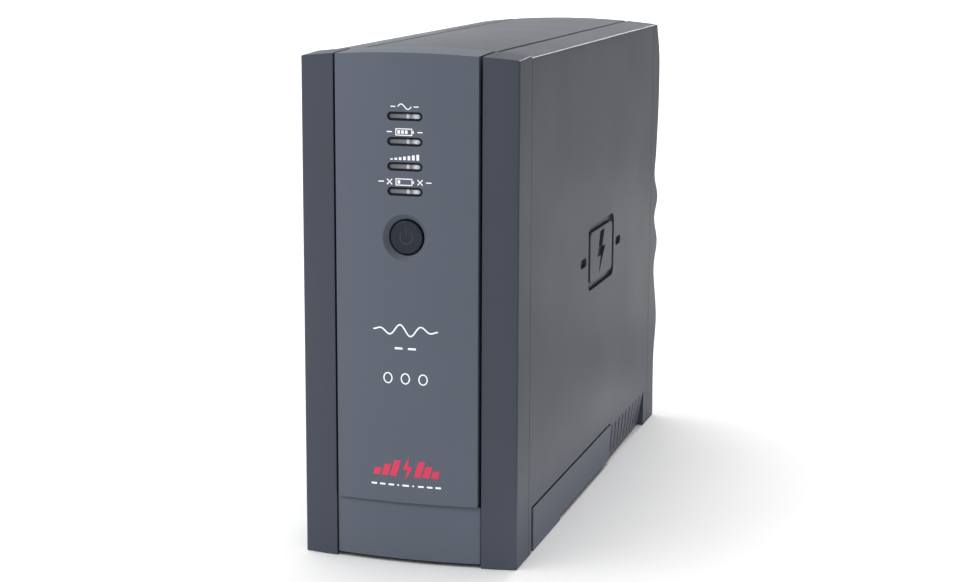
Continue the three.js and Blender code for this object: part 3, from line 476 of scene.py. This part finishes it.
def slab(name, polygons, surface, thickness, material, body="case"):
    """Flat shapes laid on a surface as one thin solid piece: surface(u, v, lift) gives each point."""
    bm = bmesh.new()
    for polygon in polygons:
        bm.faces.new([bm.verts.new((u, v, 0)) for u, v in polygon])
    bmesh.ops.remove_doubles(bm, verts=bm.verts, dist=1e-6)
    bmesh.ops.triangulate(bm, faces=bm.faces)
    long_edges = [edge for edge in bm.edges if edge.calc_length() > 2.5 * MM]
    if long_edges:
        bmesh.ops.subdivide_edges(bm, edges=long_edges, cuts=2)
        bmesh.ops.triangulate(bm, faces=bm.faces)
    bmesh.ops.recalc_face_normals(bm, faces=bm.faces)
    top = bmesh.ops.extrude_face_region(bm, geom=list(bm.faces))
    raised = [v for v in top["geom"] if isinstance(v, bmesh.types.BMVert)]
    for vert in raised:
        vert.co.z = thickness
    for vert in bm.verts:
        vert.co = surface(vert.co.x, vert.co.y, vert.co.z)
    bmesh.ops.recalc_face_normals(bm, faces=bm.faces)
    add_piece(name, bm, material, body)


# ---- Printed marks on the front ----

PANEL_HALF_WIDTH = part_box("front_panel")[1].x
PANEL_BULGE = 2.4 * MM
PRINT_LIFT = 0.02 * MM
PRINT_THICKNESS = 0.05 * MM

# Heights of the prints on the front, and of an icon above its lamp, in millimetres.
ICON_RISE = 4.6
WAVE_HEIGHT = 117.9
RATING_BARS_HEIGHT = 108.9
RINGS_HEIGHT = 93.9
EMBLEM_HEIGHT = 48.6
EMBLEM_DASHES_HEIGHT = 40


def on_panel(x, z, lift):
    """A point on the curved face of the front panel, lifted off it."""
    depth = PANEL_FRONT + PANEL_BULGE * (x / PANEL_HALF_WIDTH) ** 2
    return Vector((x, depth - PRINT_LIFT - lift, z))


def printed(name, polygons, height, ink_key="white_ink"):
    """A print on the front panel, from outlines in millimetres about its middle."""
    moved = [[(u * MM, (v + height) * MM) for u, v in polygon] for polygon in polygons]
    slab(name, moved, on_panel, PRINT_THICKNESS, MATERIALS[ink_key])


def battery_icon(x, fill=3):
    """A battery about x, filled by this many of its bars."""
    case = [(x - 4, -1.5), (x + 4, -1.5), (x + 4, 1.5), (x - 4, 1.5)]
    polygons = stroke(case, 0.45, closed=True)
    polygons.append([(x + 4.4, -0.7), (x + 5, -0.7), (x + 5, 0.7), (x + 4.4, 0.7)])
    for i in range(fill):
        left = x - 3.2 + 1.9 * i
        polygons.append([(left, -0.8), (left + 1.3, -0.8), (left + 1.3, 0.8), (left, 0.8)])
    return polygons


def dashes(start, end):
    """A dash on each side, at the same distance from the middle."""
    return [stroke([(side * start, 0), (side * end, 0)], 0.5)[0] for side in (-1, 1)]


def online_icon():
    wave = [(-3.4 + 6.8 * i / 24, 1.25 * math.sin(2 * math.pi * i / 24)) for i in range(25)]
    return stroke(wave, 0.5) + dashes(4.6, 7)


def overload_icon():
    bars = []
    for i in range(7):
        left, right, top = -7.3 + 2.2 * i, -6 + 2.2 * i, -0.8 + 0.36 * i
        bars.append([(left, -1.4), (right, -1.4), (right, top), (left, top)])
    return bars


def replace_icon():
    crosses = []
    for side in (-1, 1):
        near, far = side * 6.4, side * 9
        crosses += stroke([(near, -1.3), (far, 1.3)], 0.5) + stroke([(near, 1.3), (far, -1.3)], 0.5)
    return battery_icon(-0.4, 1) + crosses + dashes(10.6, 13.4)


def flash(centre, size):
    shape = [(0.12, 1), (-0.42, -0.08), (-0.04, -0.08), (-0.2, -1), (0.42, 0.16), (0.05, 0.16)]
    return [(centre[0] + size * u, centre[1] + size * v) for u, v in shape]


def split_flash(centre, size):
    """The flash as two convex halves."""
    points = flash(centre, size)
    return [[points[0], points[1], points[2], points[5]], [points[2], points[3], points[4], points[5]]]


def print_front():
    lamp_icons = {
        "online": online_icon(), "on_battery": battery_icon(-0.4) + dashes(6.4, 9),
        "overload": overload_icon(), "replace_battery": replace_icon(),
    }
    for lamp, icon in lamp_icons.items():
        low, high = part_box(f"{lamp}_lamp_window")
        middle = (low.z + high.z) / 2 / MM
        printed(f"{lamp}_icon", icon, middle + ICON_RISE)
    wave = [(-16.5 + 33 * i / 48, 2.9 * math.sin(3 * 2 * math.pi * i / 48) * math.sin(math.pi * i / 48))
            for i in range(49)]
    printed("rating_wave", stroke(wave, 0.7), WAVE_HEIGHT)
    rating_bars = [[(x - 2, -0.5), (x + 2, -0.5), (x + 2, 0.5), (x - 2, 0.5)] for x in (-3.4, 3.4)]
    printed("rating_bars", rating_bars, RATING_BARS_HEIGHT)
    rings = []
    for centre in (-9, 0, 9):
        rings += stroke(ring_points(2.1, 24, (centre, 0), 1.2), 0.6, closed=True)
    printed("rating_rings", rings, RINGS_HEIGHT)
    bars = []
    for left, rise in ((-17, 3.6), (-12.6, 5.8), (-8.2, 8), (4.2, 8), (8.6, 5.8), (13, 3.6)):
        lean, top = 0.3 * rise, rise - 4
        bars.append([(left, -4), (left + 3.4, -4), (left + 3.4 + lean, top), (left + lean, top)])
    printed("emblem_bars", bars, EMBLEM_HEIGHT, "red_ink")
    printed("emblem_flash", split_flash((1, 0), 6.2), EMBLEM_HEIGHT, "red_ink")
    row = ((-16.5, 3), (-12, 3), (-7.5, 3), (-3.9, 0.95), (0, 3.6), (3.9, 0.95), (7.8, 3),
           (12.3, 3), (16.6, 3))
    emblem_dashes = [slot_points(length, 0.9, (x, 0)) for x, length in row]
    printed("emblem_dashes", emblem_dashes, EMBLEM_DASHES_HEIGHT)


# ---- Lamp windows and button ----

def lamp_surrounds():
    """A flat black ring laid on the panel round each window, over the gap between it and the panel:
    painted shade for the dark gap.
    """
    for lamp in LAMPS:
        low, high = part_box(f"{lamp}_lamp_window")
        middle = (low.z + high.z) / 2
        # Painted shade: a thin black ring where the gap round the window lies in shadow.
        outer = slot_points(17.8 * MM, 4.2 * MM, (0, middle), 10)
        inner = slot_points(15.9 * MM, 2.4 * MM, (0, middle), 10)
        after = [(i + 1) % len(outer) for i in range(len(outer))]
        polygons = [[outer[i], outer[j], inner[j], inner[i]] for i, j in enumerate(after)]
        slab(f"{lamp}_lamp_rim_shade", polygons, on_panel, 0.06 * MM, MATERIALS["window_rim_shade"])


def button_symbol():
    """A raised line and open ring, moulded into the button's face."""
    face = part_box("power_button")[0].y

    def on_button(x, z, lift):
        return Vector((x, face + BUTTON_HOLLOW - lift, z + BUTTON_HEIGHT))

    ring = [(3.2 * MM * math.sin(a), 3.2 * MM * math.cos(a))
            for a in (math.radians(38 + 284 * i / 28) for i in range(29))]
    polygons = stroke(ring, 0.55 * MM) + stroke([(0, 0.6 * MM), (0, 4.3 * MM)], 0.55 * MM)
    slab("button_symbol", polygons, on_button, 0.12 * MM, MATERIALS["symbol"], "power_button")


# ---- Back, underside and inside ----

CORNERS = [(x, y, z) for x in (0, 1) for y in (0, 1) for z in (0, 1)]
SIDES = [(0, 1, 3, 2), (4, 6, 7, 5), (0, 4, 5, 1), (2, 3, 7, 6), (0, 2, 6, 4), (1, 5, 7, 3)]
CONTACT_PLACES = ((-7, -1.4), (7, -1.4), (0, 3))

# Half sizes of metal contacts across and upwards, and their depths behind the socket's face, in
# millimetres.
LEAF_HALF_SIZE, LEAF_DEPTHS, LEAF_GAP = (0.12, 1.8), (12.2, 3), 0.82
PIN_HALF_SIZE, PIN_DEPTHS = (1.06, 2.06), (14.4, 1.92)
WIRE_HALF_SIZE, WIRE_DEPTHS, WIRE_PITCH, WIRE_DROP = (0.2, 0.2), (13.5, 4), 1.02, 4.7


def blocks(name, boxes, material, bevel, body="case"):
    """Bevelled blocks as one piece: each is given by its low and its high corner, in millimetres."""
    bm = bmesh.new()
    for low, high in boxes:
        verts = [bm.verts.new([(low, high)[pick[k]][k] * MM for k in range(3)]) for pick in CORNERS]
        for side in SIDES:
            bm.faces.new([verts[i] for i in side])
    bmesh.ops.recalc_face_normals(bm, faces=bm.faces)
    bmesh.ops.bevel(bm, geom=list(bm.edges), offset=bevel * MM, segments=2, profile=0.5, affect="EDGES")
    add_piece(name, bm, material, body)


def span(node):
    """Middle x, outer face y and middle z of a node's box, in millimetres."""
    low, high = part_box(node)
    return (low.x + high.x) / 2 / MM, high.y / MM, (low.z + high.z) / 2 / MM


def contact(x, z, half_size, depths, face):
    """The low and the high corner of a contact behind a socket's face."""
    low = (x - half_size[0], face - depths[0], z - half_size[1])
    return low, (x + half_size[0], face - depths[1], z + half_size[1])


def socket_metal():
    """Spring leaves in the outlets, plated pins in the inlet and gilt wires in the jacks."""
    for i in range(1, 7):
        x, face, z = span(f"outlet_{i}")
        leaves = [contact(x + u + side, z + v, LEAF_HALF_SIZE, LEAF_DEPTHS, face)
                  for u, v in CONTACT_PLACES for side in (-LEAF_GAP, LEAF_GAP)]
        blocks(f"outlet_{i}_contacts", leaves, MATERIALS["brass"], 0.05)
    x, face, z = span("power_inlet")
    pins = [contact(x + u, z + v, PIN_HALF_SIZE, PIN_DEPTHS, face) for u, v in CONTACT_PLACES]
    blocks("power_inlet_pins", pins, MATERIALS["steel"], 0.3)
    for node, offsets in (("surge_ports", (-8.4, 8.4)), ("data_port", (0,))):
        x, face, z = span(node)
        places = [x + offset + WIRE_PITCH * (i - 3.5) for offset in offsets for i in range(8)]
        wires = [contact(u, z - WIRE_DROP, WIRE_HALF_SIZE, WIRE_DEPTHS, face) for u in places]
        blocks(f"{node}_wires", wires, MATERIALS["gold"], 0.05)


def rear_print():
    """Pictograms on the socket panel: no lettering."""
    plane = SOCKET_FACE - SOCKET_RELIEF

    def on_rear(x, z, lift):
        return Vector((x, plane + PRINT_LIFT + lift, z))

    def mark(name, polygons, x, z, scale=1.0):
        moved = [[((x + scale * u) * MM, (z + scale * v) * MM) for u, v in polygon]
                 for polygon in polygons]
        slab(name, moved, on_rear, PRINT_THICKNESS, MATERIALS["white_ink"])

    rows = [span(f"outlet_{i}")[2] for i in (1, 3, 5)]
    bracket = [(-5.5, rows[0] + 12), (5.5, rows[0] + 12), (5.5, rows[1] - 12), (-5.5, rows[1] - 12)]
    mark("battery_backed_outlets_frame", stroke(bracket, 0.35, closed=True), 0, 0)
    mark("battery_backed_outlets_icon", battery_icon(-0.4), 0, (rows[0] + rows[1]) / 2, 0.85)
    bracket = [(-5.5, 12), (5.5, 12), (5.5, -12), (-5.5, -12)]
    mark("surge_only_outlets_frame", stroke(bracket, 0.35, closed=True), 0, rows[2])
    mark("surge_only_outlets_icon", split_flash((0, 0), 5), 0, rows[2])
    x, _, z = span("power_inlet")
    mark("inlet_icon", online_icon(), x, z - 17.5, 0.8)
    x, _, z = span("breaker_body")
    ring = [(2.4 * math.cos(a), 2.4 * math.sin(a))
            for a in (math.radians(60 + 270 * i / 24) for i in range(25))]
    mark("breaker_icon", stroke(ring, 0.5) + [[(0.2, 3.4), (0.2, 0.9), (2.3, 2.2)]], x, z - 17.5)
    x, _, z = span("surge_ports")
    for name, side, tip in (("jack_in_icon", 8.4, 2.2), ("jack_out_icon", -8.4, -2.2)):
        foot = -tip / 2
        bar = [(-1.9, foot - 0.9), (1.9, foot - 0.9), (1.9, foot - 0.5), (-1.9, foot - 0.5)]
        mark(name, [[(-1.9, foot), (1.9, foot), (0, -foot)], bar], x + side, z + 13)
    x, _, z = span("data_port")
    boxes = [[(u - 1, v - 1), (u + 1, v - 1), (u + 1, v + 1), (u - 1, v + 1)]
             for u, v in ((0, 2), (-3, -2), (3, -2))]
    lines = stroke([(0, 1), (0, 0)], 0.35) + stroke([(-3, -1), (-3, 0), (3, 0), (3, -1)], 0.35)
    mark("data_port_icon", boxes + lines, x, z + 14)


def rounded_points(width, height, radius, centre=(0, 0), steps=5):
    """A rectangle with round corners."""
    points = []
    for (sx, sy), start in (((1, -1), -90), ((1, 1), 0), ((-1, 1), 90), ((-1, -1), 180)):
        for i in range(steps + 1):
            angle = math.radians(start + 90 * i / steps)
            points.append((centre[0] + sx * (width / 2 - radius) + radius * math.cos(angle),
                           centre[1] + sy * (height / 2 - radius) + radius * math.sin(angle)))
    return points


def labels():
    """A blank rating label under the case, and blank labels and polarity marks on the batteries."""
    low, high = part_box("battery_door")
    under = low.z + GROUND_PAD_HEIGHT
    middle = low.y + 0.3 * (high.y - low.y)

    def below(x, y, lift):
        return Vector((x, middle + y, under - PRINT_LIFT - lift))

    slab("rating_label", [rounded_points(66 * MM, 34 * MM, 2 * MM)], below, 0.1 * MM,
         MATERIALS["label"], "battery_door")
    frame_line = stroke(rounded_points(61 * MM, 29 * MM, 1.2 * MM), 0.4 * MM, closed=True)
    tips = [(-22 * MM, -6 * MM), (-12 * MM, -6 * MM), (-17 * MM, 3 * MM)]
    triangle = stroke(tips, 0.6 * MM, closed=True)
    squares = []
    for corners in (((-4, -6), (5, -6), (5, 3), (-4, 3)), ((-2, -4), (3, -4), (3, 1), (-2, 1))):
        squares += stroke([(u * MM, v * MM) for u, v in corners], 0.6 * MM, closed=True)
    slab("rating_label_marks", frame_line + triangle + squares,
         lambda x, y, lift: below(x, y, lift + 0.1 * MM), 0.04 * MM, MATERIALS["black"], "battery_door")
    for name in ("lower", "upper"):
        low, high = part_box(f"battery_{name}")
        x, z = (low.x + high.x) / 2, (low.z + high.z) / 2

        def on_end(u, v, lift, front=low.y, x=x, z=z):
            return Vector((x + u, front - PRINT_LIFT - lift, z + v))

        slab(f"battery_{name}_label", [rounded_points(78 * MM, 46 * MM, 2 * MM)], on_end, 0.1 * MM,
             MATERIALS["label"], "battery_pack")
        band = [rounded_points(78 * MM, 9 * MM, 2 * MM, (0, 16 * MM))]
        slab(f"battery_{name}_band", band, lambda u, v, lift: on_end(u, v, lift + 0.1 * MM), 0.05 * MM,
             MATERIALS["red_ink"], "battery_pack")


# ---- Studio ----

def area_light(name, place, target, size, power):
    """A rectangular light that the camera doesn't see, turned to its target: metres and watts."""
    light = bpy.data.lights.new(name, "AREA")
    light.shape = "RECTANGLE"
    light.size, light.size_y = size
    light.energy = power
    obj = bpy.data.objects.new(name, light)
    obj.location = place
    obj.rotation_euler = (Vector(target) - Vector(place)).to_track_quat("-Z", "Y").to_euler()
    obj.visible_camera = False
    bpy.context.scene.collection.objects.link(obj)
    return obj


def studio_world():
    """A pale room, brightest overhead and to the left."""
    world = bpy.data.worlds.new("studio")
    world.use_nodes = True
    tree = world.node_tree
    split = tree.nodes.new("ShaderNodeSeparateXYZ")
    tree.links.new(tree.nodes.new("ShaderNodeTexCoord").outputs["Generated"], split.inputs[0])
    product = tree.nodes.new("ShaderNodeMath")
    product.operation = "MULTIPLY"
    fades = (("Z", (0, 1, HORIZON_LIGHT, ZENITH_LIGHT)), ("X", (-1, 1, 1.55, 0.1)))
    for i, (axis, numbers) in enumerate(fades):
        fade = tree.nodes.new("ShaderNodeMapRange")
        for name, number in zip(("From Min", "From Max", "To Min", "To Max"), numbers):
            fade.inputs[name].default_value = number
        tree.links.new(split.outputs[axis], fade.inputs["Value"])
        tree.links.new(fade.outputs["Result"], product.inputs[i])
    tree.links.new(product.outputs[0], tree.nodes["Background"].inputs["Strength"])
    tree.nodes["Background"].inputs["Color"].default_value = (1, 1, 1, 1)
    bpy.context.scene.world = world


def link_lights(lights, name, obj, state):
    """Makes the lights reach only obj (INCLUDE), or everything but obj (EXCLUDE)."""
    receivers = bpy.data.collections.new(name)
    receivers.objects.link(obj)
    receivers.collection_objects[0].light_linking.link_state = state
    for light in lights:
        light.light_linking.receiver_collection = receivers


def studio():
    """The floor, the room, two lights behind, a key light, four low ones and one for the floor."""
    mesh = bpy.data.meshes.new("studio_floor")
    reach = 12.0
    corners = [(-reach, -reach, 0), (reach, -reach, 0), (reach, reach, 0), (-reach, reach, 0)]
    mesh.from_pydata(corners, [], [(0, 1, 2, 3)])
    mesh.materials.append(studio_floor())
    floor = bpy.data.objects.new("studio_floor", mesh)
    floor.location.z = -0.3 * MM
    bpy.context.scene.collection.objects.link(floor)
    studio_world()
    middle = (0, 0, 0.14)
    area_light("back_left", (-2.31, 6.09, 0.775), (0, 0, 0.25), (2.5, 0.52), 20)
    area_light("back_right", (0.22, 6, 1.95), (0.055, 0, 0.25), (0.36, 0.45), 125)
    part_lights = (
        area_light("key", (-1.25, -1.45, 1.35), middle, (0.35, 0.35), 28),
        area_light("low_right", (0.1, -0.05, 0.01), (0.05, -0.05, 0.01), (0.5, 0.016), 0.08),
        area_light("rear_right", (0.12, 0.3, 0.08), (0.055, 0.13, 0.08), (0.04, 0.1), 0.02),
        area_light("front_right", (0.5, -0.5, 0.04), (0.05, -0.13, 0.02), (0.3, 0.05), 0.5),
        area_light("front_left", (-0.45, -0.4, 0.04), (-0.05, -0.15, 0.02), (0.3, 0.05), 0.35),
    )
    link_lights(part_lights, "not_lit_by_part_lights", floor, "EXCLUDE")
    floor_fill = area_light("floor_fill", (0, 0, 4), (0, 0, 0), (4, 4), 50)
    link_lights([floor_fill], "lit_by_floor_fill", floor, "INCLUDE")
    scene = bpy.context.scene
    scene.view_settings.view_transform = "Standard"


def camera():
    """A long lens at the right of the front, looking slightly down."""
    lens = bpy.data.cameras.new("camera")
    lens.sensor_width = 36
    lens.lens = 76.05
    lens.clip_start = 0.05
    obj = bpy.data.objects.new("camera", lens)
    obj.location = (0.3074, RAIL_FRONT - 0.9160, 0.3204)
    yaw, pitch, roll = math.radians(-16.47), math.radians(10.76), math.radians(0.22)
    level = math.cos(pitch)
    ahead = Vector((math.sin(yaw) * level, math.cos(yaw) * level, -math.sin(pitch)))
    rolled = Matrix.Rotation(roll, 3, "Z").to_quaternion()
    obj.rotation_mode = "QUATERNION"
    obj.rotation_quaternion = ahead.to_track_quat("-Z", "Y") @ rolled
    bpy.context.scene.collection.objects.link(obj)
    bpy.context.scene.camera = obj


camera()
studio()
dress_cad()
shorten_spring()
print_front()
lamp_surrounds()
button_symbol()
socket_metal()
rear_print()
labels()
